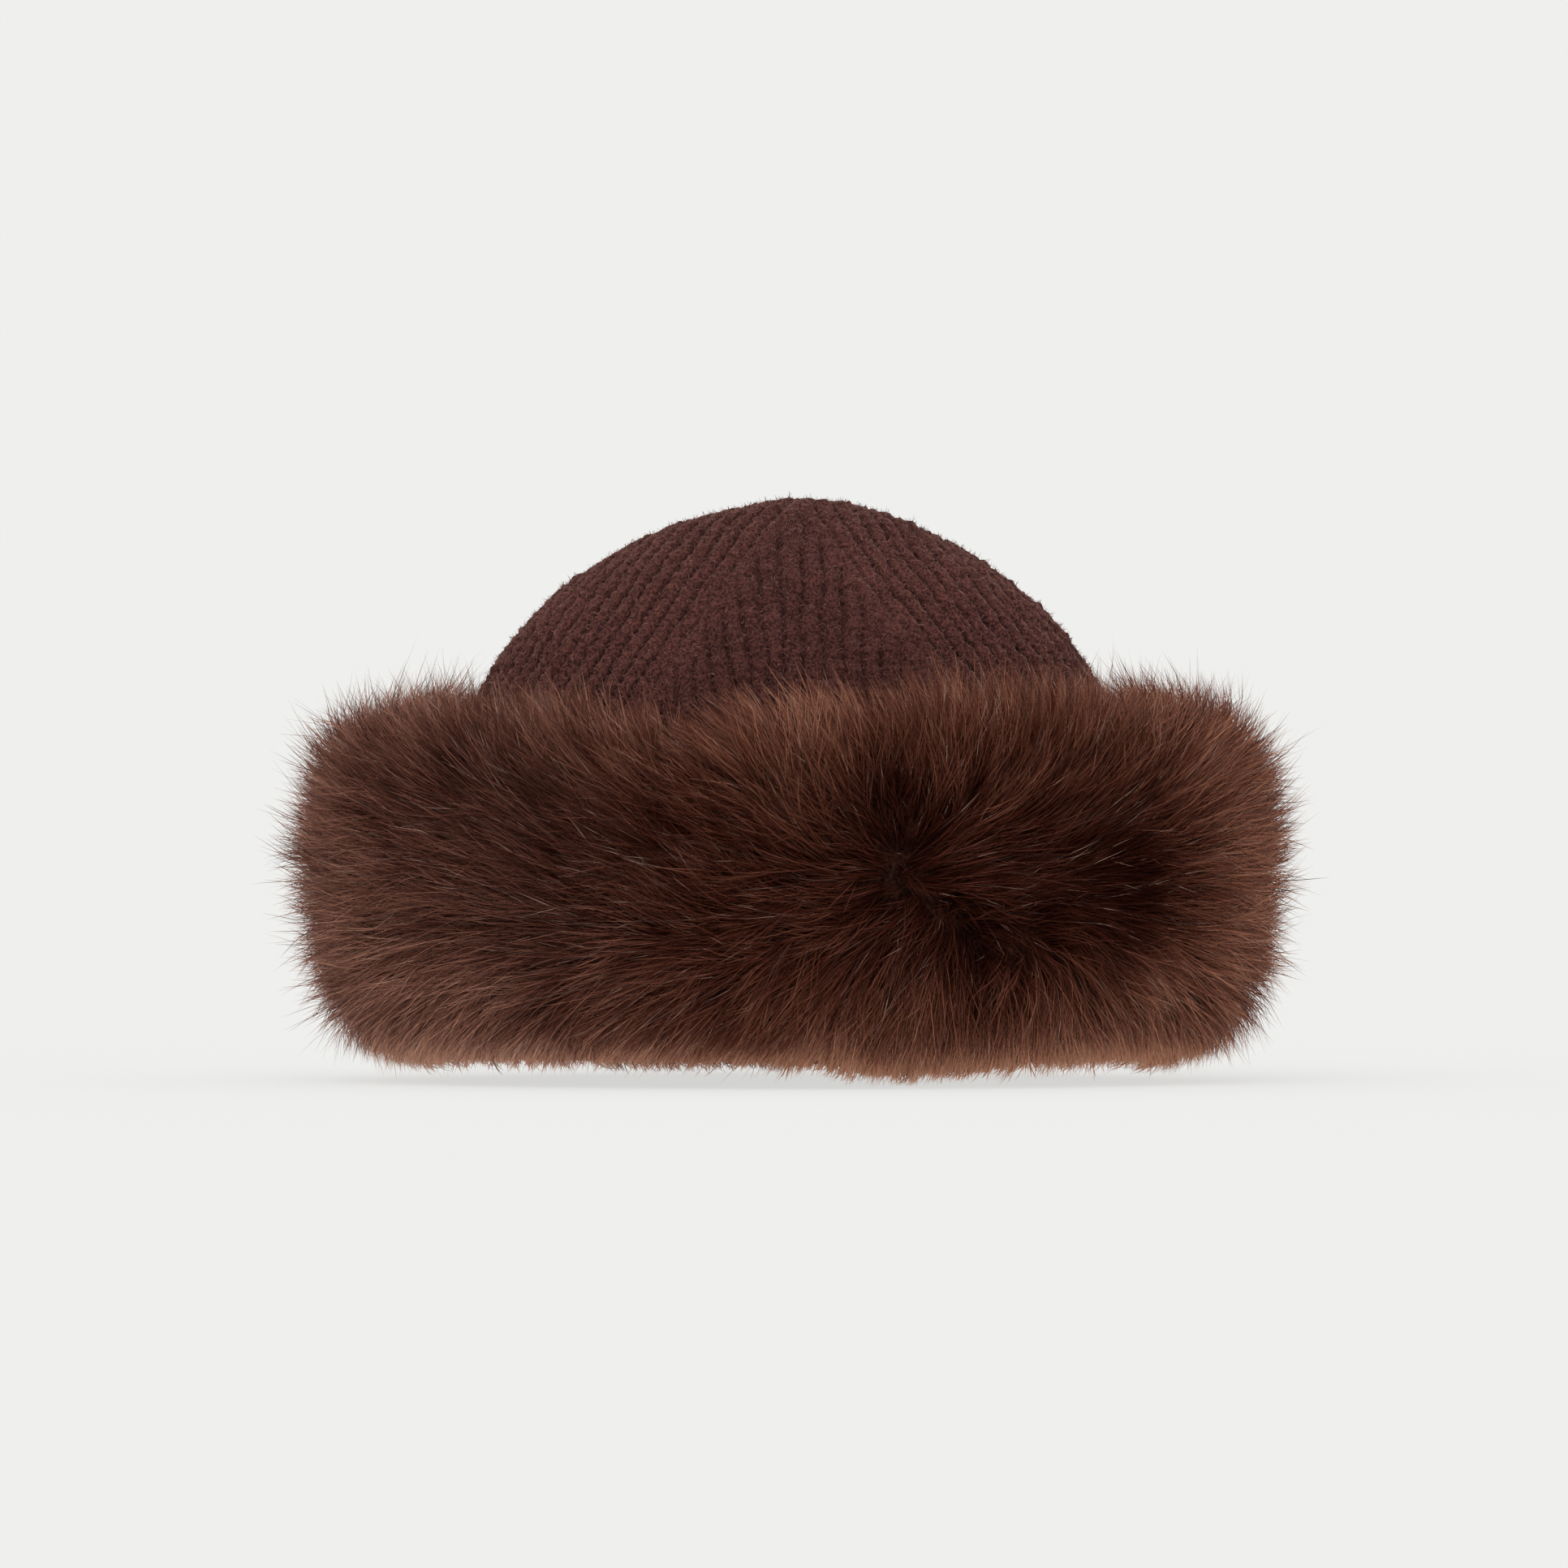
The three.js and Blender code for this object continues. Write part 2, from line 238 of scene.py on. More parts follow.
def grid_mesh(name, places, maps):
    """A sheet whose points lie at places[row, column] in mm. Maps give, by name, the UV at each point as its
    left and its right face see it. Edges and poles that lie on each other are merged."""
    rows, columns = places.shape[0] - 1, places.shape[1] - 1
    sheet = bmesh.new()
    bmesh.ops.create_grid(sheet, x_segments=columns, y_segments=rows, size=1)
    mesh = bpy.data.meshes.new(name)
    sheet.to_mesh(mesh)
    sheet.free()
    flat = np.empty((len(mesh.vertices), 3), np.float32)
    mesh.vertices.foreach_get("co", flat.ravel())
    column = np.rint((flat[:, 0] + 1) / 2 * columns).astype(int)
    row = np.rint((flat[:, 1] + 1) / 2 * rows).astype(int)
    mesh.vertices.foreach_set("co", (places[row, column] * MM).astype(np.float32).ravel())
    corner = np.empty(len(mesh.loops), np.int32)
    mesh.loops.foreach_get("vertex_index", corner)
    corner = corner.reshape(-1, 4)
    first = column[corner].min(1)[:, None]
    on_right_edge = (column[corner] > first)[..., None]
    for map_name, (as_left, as_right) in maps.items():
        seen = np.where(on_right_edge, as_left[row[corner], first + 1], as_right[row[corner], first])
        mesh.uv_layers.new(name=map_name).uv.foreach_set("vector", seen.astype(np.float32).ravel())
    sheet = bmesh.new()
    sheet.from_mesh(mesh)
    bmesh.ops.remove_doubles(sheet, verts=sheet.verts, dist=1e-6)
    bmesh.ops.recalc_face_normals(sheet, faces=sheet.faces)
    sheet.to_mesh(mesh)
    sheet.free()
    mesh.shade_smooth()
    return mesh


def spread_map(shape):
    """A UV map that spreads a sheet of rows and columns over the whole square"""
    down, round_it = np.meshgrid(np.linspace(0, 1, shape[0]), np.linspace(0, 1, shape[1]), indexing="ij")
    return np.stack([round_it, down], -1)


def put_in_place(name, mesh, material, node):
    """Makes a mesh a piece of the cap, standing for one of its solids"""
    piece = bpy.data.objects.new(name, mesh)
    bpy.context.scene.collection.objects.link(piece)
    mesh.materials.append(material)
    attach(piece, "root")
    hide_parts(node)


courses = [knit_course(drop) for drop in outer_drops]
courses += [knit_course(drop, KNIT_WALL) for drop in [HIDDEN_DROPS[-1], *INSIDE_DROPS]]
crown_places = np.stack([c[0] for c in courses])
crown_places[0] = crown_places[0].mean(0)
crown_places[-1] = crown_places[-1].mean(0)
crown_outward = np.stack([c[1] for c in courses])
as_gore, as_side, phase, stretched, close = (np.stack([c[2][i] for c in courses]) for i in range(5))

# Where quarters meet, a column is a gore's last to the faces on one side and a side's first to the others.
folded_back = ((np.arange(round_columns) - 1) // quarter_columns) % 2 == 1
starts_back = (np.arange(round_columns) // quarter_columns) % 2 == 1
seen_left = np.stack([np.where(folded_back, as_side, as_gore), phase], -1)
seen_right = np.stack([np.where(starts_back, as_gore, as_side), phase], -1)
# The map for painting keeps the knit's own proportions, one row after the other.
steps_round = np.linalg.norm(np.diff(crown_places, axis=1), axis=-1)
round_so_far = np.concatenate([np.zeros((len(courses), 1)), np.cumsum(steps_round, 1)], 1)
steps_down = np.linalg.norm(np.diff(crown_places, axis=0), axis=-1).mean(1)
down_so_far = np.concatenate([[0], np.cumsum(steps_down)])
painted = np.stack([
    round_so_far / round_so_far.max(),
    np.broadcast_to((down_so_far / down_so_far[-1])[:, None], round_so_far.shape),
], -1)
# How far the valleys' painted shade fades where ribs are stretched, and how dark it is where ribs lie close
flatness = np.stack([stretched, close], -1)
crown_mesh = grid_mesh("knit_crown_ribs", crown_places, {
    "OFBake": (painted, painted), "courses": (seen_left, seen_right), "flatness": (flatness, flatness),
})


def colour(code):
    """An sRGB hex colour as linear RGBA"""
    parts = [int(code[i:i + 2], 16) / 255 for i in (1, 3, 5)]
    return [p / 12.92 if p <= 0.04045 else ((p + 0.055) / 1.055) ** 2.4 for p in parts] + [1]


def add_node(material, kind, settings=None, links=None):
    """Adds a shader node. Settings are its properties or its sockets' values, and links feed its sockets."""
    node = material.node_tree.nodes.new("ShaderNode" + kind)
    for name, value in (settings or {}).items():
        if isinstance(name, int) or name in node.inputs:
            node.inputs[name].default_value = value
        else:
            setattr(node, name, value)
    for name, output in (links or {}).items():
        material.node_tree.links.new(output, node.inputs[name])
    return node


def new_material(name):
    material = bpy.data.materials.new(name)
    material.use_nodes = True
    return material, material.node_tree.nodes["Principled BSDF"]


# Brushed wool yarn: matt and soft, since its raised fibres blur each stitch, with painted shade that darkens
# the valleys between the ribs, where the fibres shade each other.
FIBRE_SIZE = 0.85 * MM
TUFT_SIZE = 2.2 * MM
PATCH_SIZE = 24 * MM
wool, wool_shader = new_material("brushed_wool_yarn")
place_on_cap = add_node(wool, "TexCoord").outputs["Object"]
fibres, tufts, patches = (
    add_node(wool, "TexNoise", {"Scale": 1 / size, "Detail": detail}, {"Vector": place_on_cap}).outputs[0]
    for size, detail in ((FIBRE_SIZE, 2), (TUFT_SIZE, 3), (PATCH_SIZE, 1))
)
courses_map = add_node(wool, "UVMap", {"uv_map": "courses"})
rib_and_course = add_node(wool, "SeparateXYZ", links={0: courses_map.outputs[0]})
rib_turn = add_node(wool, "Math", {"operation": "PINGPONG", 1: 0.5}, {0: rib_and_course.outputs[0]})
stitch_turn = add_node(wool, "Math", {"operation": "PINGPONG", 1: 0.5}, {0: rib_and_course.outputs[1]})
# The valleys' painted shade is a dotted dark line with ragged edges, where fuzz from both ribs hangs over it.
ragged = add_node(wool, "Math", {"operation": "MULTIPLY_ADD", 1: 0.3, 2: -0.15}, {0: tufts})
ragged = add_node(wool, "Math", {"operation": "ADD"}, {0: rib_turn.outputs[0], 1: ragged.outputs[0]})
valley_shade = add_node(wool, "MapRange", {
    "interpolation_type": "SMOOTHSTEP", "From Min": 0.3, "From Max": 0.49,
}, {0: ragged.outputs[0]})
dotted_shade = add_node(wool, "MapRange", {"From Max": 0.5, "To Min": 1, "To Max": 0.45}, {0: stitch_turn.outputs[0]})
depth = add_node(wool, "Math", {"operation": "MULTIPLY"}, {0: valley_shade.outputs[0], 1: dotted_shade.outputs[0]})
flat_map = add_node(wool, "UVMap", {"uv_map": "flatness"})
flat_share = add_node(wool, "SeparateXYZ", links={0: flat_map.outputs[0]})
ribbed = add_node(wool, "MapRange", {"To Min": 1, "To Max": 0}, {0: flat_share.outputs[0]})
depth = add_node(wool, "Math", {"operation": "MULTIPLY"}, {0: depth.outputs[0], 1: ribbed.outputs[0]})
depth = add_node(wool, "Math", {"operation": "MULTIPLY", "use_clamp": True}, {
    0: depth.outputs[0], 1: flat_share.outputs[1]
})
# Painted shade: the yarn's colour darkens towards a near-black brown in the valleys.
yarn_and_valley_shade = add_node(wool, "Mix", {"data_type": "RGBA", 6: colour("#4c2c28"), 7: colour("#1b0c0b")}, {
    0: depth.outputs[0]
})
fibre_light, tuft_light, patch_light = (
    add_node(wool, "MapRange", {
        "From Min": low, "From Max": high, "To Min": dark, "To Max": pale,
    }, {0: noise}).outputs[0]
    for noise, low, high, dark, pale in (
        (fibres, 0.35, 0.65, 0.42, 1.7), (tufts, 0.3, 0.7, 0.75, 1.25), (patches, 0.3, 0.7, 0.93, 1.07),
    )
)
light = add_node(wool, "Math", {"operation": "MULTIPLY"}, {0: fibre_light, 1: tuft_light})
light = add_node(wool, "Math", {"operation": "MULTIPLY"}, {0: light.outputs[0], 1: patch_light})
yarn = add_node(wool, "HueSaturation", links={"Color": yarn_and_valley_shade.outputs[2], "Value": light.outputs[0]})
fibre_bump = add_node(wool, "Bump", {"Strength": 0.8, "Distance": 0.5 * MM}, {"Height": fibres})
tuft_bump = add_node(wool, "Bump", {"Strength": 0.7, "Distance": 0.8 * MM}, {
    "Height": tufts, "Normal": fibre_bump.outputs[0]
})
wool.node_tree.links.new(yarn.outputs[0], wool_shader.inputs["Base Color"])
wool.node_tree.links.new(tuft_bump.outputs[0], wool_shader.inputs["Normal"])
wool_shader.inputs["Roughness"].default_value = 0.95
wool_shader.inputs["Specular IOR Level"].default_value = 0.1
wool_shader.inputs["Sheen Weight"].default_value = 0.6
wool_shader.inputs["Sheen Roughness"].default_value = 0.3
wool_shader.inputs["Sheen Tint"].default_value = colour("#c99a90")
put_in_place("knit_crown_ribs", crown_mesh, wool, "knit_crown")


# Brushed fibres of the crown
# The nap that brushing has pulled out of the wool: short loose fibres all over the ribs, which soften the
# stitches and give the dome's outline its halo.
NAP_FIBRES = 33000
NAP_LENGTH = (0.9, 2.5)
NAP_WIDTH = 0.2
NAP_TAPER = np.array([1, 0.8, 0])  # the shares of its width that a fibre has from root to tip
NAP_TURN = 0.9  # how far a fibre bends over towards its tip


def strand_mesh(name, paths, width, roll, facing, taper, shares):
    """Flat strands joined in one mesh, each with two edges and a pointed tip. paths[strand, step] are in mm,
    facing is the way each strand's flat side looks before it is rolled, taper is how wide it is at each
    step, and shares go with each strand and step as colours."""
    count, steps = paths.shape[:2]
    ahead = np.empty_like(paths)
    ahead[:, 0] = paths[:, 1] - paths[:, 0]
    ahead[:, 1:-1] = paths[:, 2:] - paths[:, :-2]
    ahead[:, -1] = paths[:, -1] - paths[:, -2]
    ahead = unit(ahead)
    sideways = unit(np.cross(ahead[:, 0], facing))
    turned = facing * np.cos(roll)[:, None] + sideways * np.sin(roll)[:, None]
    edge = unit(np.cross(ahead, turned[:, None]))
    half = edge * (width[:, None] * taper / 2)[..., None]
    rails = np.stack([paths - half, paths + half], 2)[:, :-1].reshape(count, -1, 3)
    points = np.concatenate([rails, paths[:, -1:]], 1)
    per_strand = points.shape[1]
    quads = [[2 * i, 2 * i + 1, 2 * i + 3, 2 * i + 2] for i in range(steps - 2)]
    pattern = np.array([i for quad in quads for i in quad] + [per_strand - 3, per_strand - 2, per_strand - 1])
    corners = (np.arange(count)[:, None] * per_strand + pattern).ravel()
    starts = np.arange(count)[:, None] * len(pattern) + 4 * np.arange(steps - 1)
    mesh = bpy.data.meshes.new(name)
    mesh.vertices.add(count * per_strand)
    mesh.vertices.foreach_set("co", (points * MM).astype(np.float32).ravel())
    mesh.loops.add(len(corners))
    mesh.polygons.add(starts.size)
    mesh.polygons.foreach_set("loop_start", starts.ravel().astype(np.int32))
    mesh.polygons.foreach_set("vertices", corners.astype(np.int32))
    mesh.update(calc_edges=True)
    step_of = np.concatenate([np.repeat(np.arange(steps - 1), 2), [steps - 1]])
    colours = np.ones((count, per_strand, 4), np.float32)
    colours[..., :3] = shares[:, step_of]
    mesh.color_attributes.new("strand", "FLOAT_COLOR", "POINT").data.foreach_set("color", colours.ravel())
    # Each strand has a cell of its own in the map, so that its colours can be painted there.
    per_row = math.ceil(math.sqrt(count * 4))
    cell = np.stack([np.arange(count) % per_row, np.arange(count) // per_row], 1)
    cells = np.array([per_row, math.ceil(count / per_row)])
    side_of = np.concatenate([np.tile([0.15, 0.85], steps - 1), [0.5]])
    in_cell = np.stack([side_of, 0.05 + 0.9 * step_of / (steps - 1)], 1)
    uv = ((cell[:, None] + in_cell) / cells).reshape(-1, 2)[corners]
    mesh.uv_layers.new(name="OFBake").uv.foreach_set("vector", uv.astype(np.float32).ravel())
    mesh.shade_smooth()
    return mesh


draw = np.random.default_rng(11)
seen_places, seen_outward = crown_places[:SEEN_ROWS], crown_outward[:SEEN_ROWS]
cell_round = np.linalg.norm(seen_places[:-1, 1:] - seen_places[:-1, :-1], axis=-1)
cell_down = np.linalg.norm(seen_places[1:, 1:] - seen_places[:-1, 1:], axis=-1)
cell_area = (cell_round * np.minimum(cell_down, 2 * ROW_STEP)).ravel()
nap_cell = draw.choice(cell_area.size, NAP_FIBRES, p=cell_area / cell_area.sum())
nap_row, nap_column = np.divmod(nap_cell, round_columns - 1)
share = draw.uniform(size=(NAP_FIBRES, 1))
nap_roots = seen_places[nap_row, nap_column] * share + seen_places[nap_row + 1, nap_column + 1] * (1 - share)
nap_outward = unit(seen_outward[nap_row, nap_column])
nap_length = draw.uniform(*NAP_LENGTH, NAP_FIBRES)[:, None]
nap_way = unit(nap_outward * 0.8 + draw.normal(size=(NAP_FIBRES, 3)))
nap_way += nap_outward * np.maximum(0.15 - (nap_way * nap_outward).sum(1, keepdims=True), 0)
nap_bend = draw.normal(size=(NAP_FIBRES, 3)) * NAP_TURN
nap_middle = nap_roots + nap_way * nap_length * 0.5
nap_tip = nap_middle + unit(nap_way + 0.5 * nap_bend) * nap_length * 0.5
nap_paths = np.stack([nap_roots - 0.2 * nap_outward, nap_middle, nap_tip], 1)
nap_shares = np.stack(np.broadcast_arrays(
    np.array([0, 0.5, 1]), draw.uniform(size=(NAP_FIBRES, 1)), np.full((NAP_FIBRES, 1), 0.5)
), -1)
nap_mesh = strand_mesh(
    "knit_crown_nap", nap_paths, draw.uniform(0.6, 1.2, NAP_FIBRES) * NAP_WIDTH,
    draw.uniform(-0.8, 0.8, NAP_FIBRES), nap_outward, NAP_TAPER, nap_shares,
)


def strand_shares(material):
    """What each strand carries as colours: the way along it, a number of its own, and its tone"""
    carried = add_node(material, "Attribute", {"attribute_name": "strand"})
    return add_node(material, "SeparateColor", links={0: carried.outputs[0]}).outputs


# Loose wool fibres: the same yarn, with a painted highlight: random fibres painted lighter, as if catching
# the light.
nap, nap_shader = new_material("loose_wool_fibre")
nap_strand = strand_shares(nap)
nap_colour = add_node(nap, "Mix", {"data_type": "RGBA", 6: colour("#4a2c29"), 7: colour("#8c645e")}, {
    0: nap_strand[1]
})
nap.node_tree.links.new(nap_colour.outputs[2], nap_shader.inputs["Base Color"])
nap_shader.inputs["Roughness"].default_value = 0.8
nap_shader.inputs["Specular IOR Level"].default_value = 0.2
put_in_place("knit_crown_nap", nap_mesh, nap, "knit_crown")


# Brim backing
# A band of knitted backing cloth sewn round the rim and turned up, with the short dense undercoat of the
# faux fur on it. Little of it shows: it is the dark at the roots of the pile, and the brim's inner side.
BRIM_HALF_WIDTH = RIM_HALF_WIDTH + RIB_RELIEF / 2 + 0.35
# The section of the backing and its undercoat: mm outwards from the knit, and up from the table.
BACKING_SECTION = np.array([
    (0.5, 7), (3, 6.4), (7, 7.2), (11.5, 11), (17, 18), (22.5, 28), (26, 39), (28, 51), (29, 63), (29, 75),
    (28.7, 86), (27.2, 96), (23, 103.5), (14, 107.5), (4, 108), (-1.5, 107), (-1.3, 97), (-0.4, 84),
    (-0.4, 30), (-0.3, 10),
], dtype=[("out", float), ("up", float)])
# How the top edge rises and falls round the cap: degrees from the front towards the right, and mm.
TOP_EDGE = np.array([
    (-180, 0), (-95, -2), (-45, -4), (-16, -11), (2, -4), (45, -1), (75, 0), (110, 0), (180, 0),
], dtype=[("at", float), ("rise", float)])
EDGE_FROM = 60  # the rise comes in between these heights, in mm
EDGE_TO = 112
# The same for the hem, whose rise comes in downwards. The cap stands on the tufts of its low places.
HEM_EDGE = np.array([
    (-180, -1), (-160, -2), (-130, 1), (-88, 0.6), (-62, 2), (-33, 2.4), (-8, 2.4), (3, 1), (15, -2),
    (27, -1.2), (41, 1), (62, 2.2), (88, 0.6), (130, 1), (160, -2), (180, -1),
], dtype=[("at", float), ("rise", float)])
HEM_FROM = 8
HEM_TO = 30
# Where the pile is parted down to the undercoat: degrees, mm up, half-sizes round and up, and depth, in mm.
PARTINGS = np.array([
    (14, 92, 6, 9, 4), (26, 45, 6, 12, 4), (47, 61, 16, 18, 2.5), (-9, 78, 5, 14, 2),
], dtype=[("at", float), ("up", float), ("wide", float), ("high", float), ("deep", float)])
BACKING_ROWS = 60
BACKING_COLUMNS = 240
SECTION_STEPS = 600
NEARBY_DEGREES = 0.3  # the backing's ways are measured between places this far to either side
NEARBY_SHARE = 0.003
ROOTS_SIZE = 1.2 * MM


def rise_of(edge, degrees):
    """How far an edge of the brim lies above its mean height, in mm"""
    after = np.clip(np.searchsorted(edge["at"], degrees), 1, len(edge) - 1)
    a, b = edge[after - 1], edge[after]
    return a["rise"] + (b["rise"] - a["rise"]) * smooth_step(degrees, a["at"], b["at"])


def brim_place(degrees, out, up):
    """Points of the brim in mm, by degrees from the front towards the right and the place in its section"""
    degrees, out, up = np.broadcast_arrays(degrees, out, up)
    angle = np.radians(degrees)
    x, y = BRIM_HALF_WIDTH * np.sin(angle), -BRIM_HALF_WIDTH * OVAL * np.cos(angle)
    flat = unit(np.stack([np.sin(angle), -np.cos(angle) / OVAL], -1))
    height = up + rise_of(TOP_EDGE, degrees) * smooth_step(up, EDGE_FROM, EDGE_TO)
    height = height + rise_of(HEM_EDGE, degrees) * (1 - smooth_step(up, HEM_FROM, HEM_TO))
    return np.stack([x + flat[..., 0] * out, y + flat[..., 1] * out, height], -1)


def rounded(section, count):
    """A closed section's corners joined by a smooth curve, as evenly spaced points"""
    corners = np.stack([section["out"], section["up"]], 1)
    before, after, beyond = (np.roll(corners, -shift, 0) for shift in (-1, 1, 2))
    t = np.linspace(0, 1, 12, endpoint=False)[:, None, None]
    curve = 0.5 * (
        2 * corners + (after - before) * t + (2 * before - 5 * corners + 4 * after - beyond) * t**2
        + (3 * corners - before - 3 * after + beyond) * t**3
    )
    curve = curve.transpose(1, 0, 2).reshape(-1, 2)
    curve = np.vstack([curve, curve[:1]])
    lengths = np.concatenate([[0], np.cumsum(np.linalg.norm(np.diff(curve, axis=0), axis=1))])
    evenly = np.linspace(0, lengths[-1], count)
    return np.stack([np.interp(evenly, lengths, curve[:, i]) for i in (0, 1)], 1)


section = rounded(BACKING_SECTION, SECTION_STEPS + 1)
section_shares = np.linspace(0, 1, SECTION_STEPS + 1)


def on_backing(degrees, share):
    """The point of the backing at a share of the way round its section, from the rim outwards and up"""
    out, up = (np.interp(share, section_shares, section[:, i]) for i in (0, 1))
    return brim_place(degrees, out, up)


def parting_at(degrees, up):
    """How deep the pile is parted at a place, in mm"""
    depth = 0
    for parting in PARTINGS:
        sideways = (degrees - parting["at"]) * np.pi / 180 * BRIM_HALF_WIDTH / parting["wide"]
        upwards = (up - parting["up"]) / parting["high"]
        depth = depth + parting["deep"] * np.exp(-(sideways**2) - upwards**2)
    return depth


def backing_frame(degrees, share):
    """The backing's points, with the ways round to the right, up its section and out of it"""
    points = on_backing(degrees, share)
    right, left = on_backing(degrees + NEARBY_DEGREES, share), on_backing(degrees - NEARBY_DEGREES, share)
    above = on_backing(degrees, np.minimum(share + NEARBY_SHARE, 1))
    below = on_backing(degrees, np.maximum(share - NEARBY_SHARE, 0))
    rightward, rising = unit(right - left), unit(above - below)
    outward = unit(np.cross(rightward, rising))
    return points - outward * parting_at(degrees, points[..., 2])[..., None], rightward, rising, outward


round_degrees, section_share = np.meshgrid(
    np.linspace(-180, 180, BACKING_COLUMNS + 1), np.linspace(0, 1, BACKING_ROWS + 1)
)
backing_places, _, _, backing_outward = backing_frame(round_degrees, section_share)
on_pile_side = smooth_step(section_share, 0.08, 0.12) * (1 - smooth_step(section_share, 0.6, 0.66))
tufted = 0.7 * waves(backing_places, 9, 21) + 0.5 * waves(backing_places, 4, 22)
backing_places = backing_places + backing_outward * (tufted * on_pile_side)[..., None]
backing_places[:, -1] = backing_places[:, 0]
backing_places[-1] = backing_places[0]
spread = spread_map(backing_places.shape[:2])
backing_mesh = grid_mesh("fur_brim_backing", backing_places, {"OFBake": (spread, spread)})

# Undercoat of modacrylic fibre on knitted backing: very dark and matt between the roots of the pile.
undercoat, undercoat_shader = new_material("undercoat_of_modacrylic_fibre")
undercoat_place = add_node(undercoat, "TexCoord")
roots = add_node(undercoat, "TexNoise", {"Scale": 1 / ROOTS_SIZE, "Detail": 4}, {
    "Vector": undercoat_place.outputs["Object"]
}).outputs[0]
roots_light = add_node(undercoat, "MapRange", {"From Min": 0.35, "From Max": 0.7}, {0: roots})
undercoat_colour = add_node(undercoat, "Mix", {
    "data_type": "RGBA", 6: colour("#1f0d08"), 7: colour("#4a2b20"),
}, {0: roots_light.outputs[0]})
undercoat_bump = add_node(undercoat, "Bump", {"Strength": 0.8, "Distance": 0.8 * MM}, {"Height": roots})
undercoat.node_tree.links.new(undercoat_colour.outputs[2], undercoat_shader.inputs["Base Color"])
undercoat.node_tree.links.new(undercoat_bump.outputs[0], undercoat_shader.inputs["Normal"])
undercoat_shader.inputs["Roughness"].default_value = 0.9
undercoat_shader.inputs["Specular IOR Level"].default_value = 0.1
put_in_place("fur_brim_backing", backing_mesh, undercoat, "fur_brim")
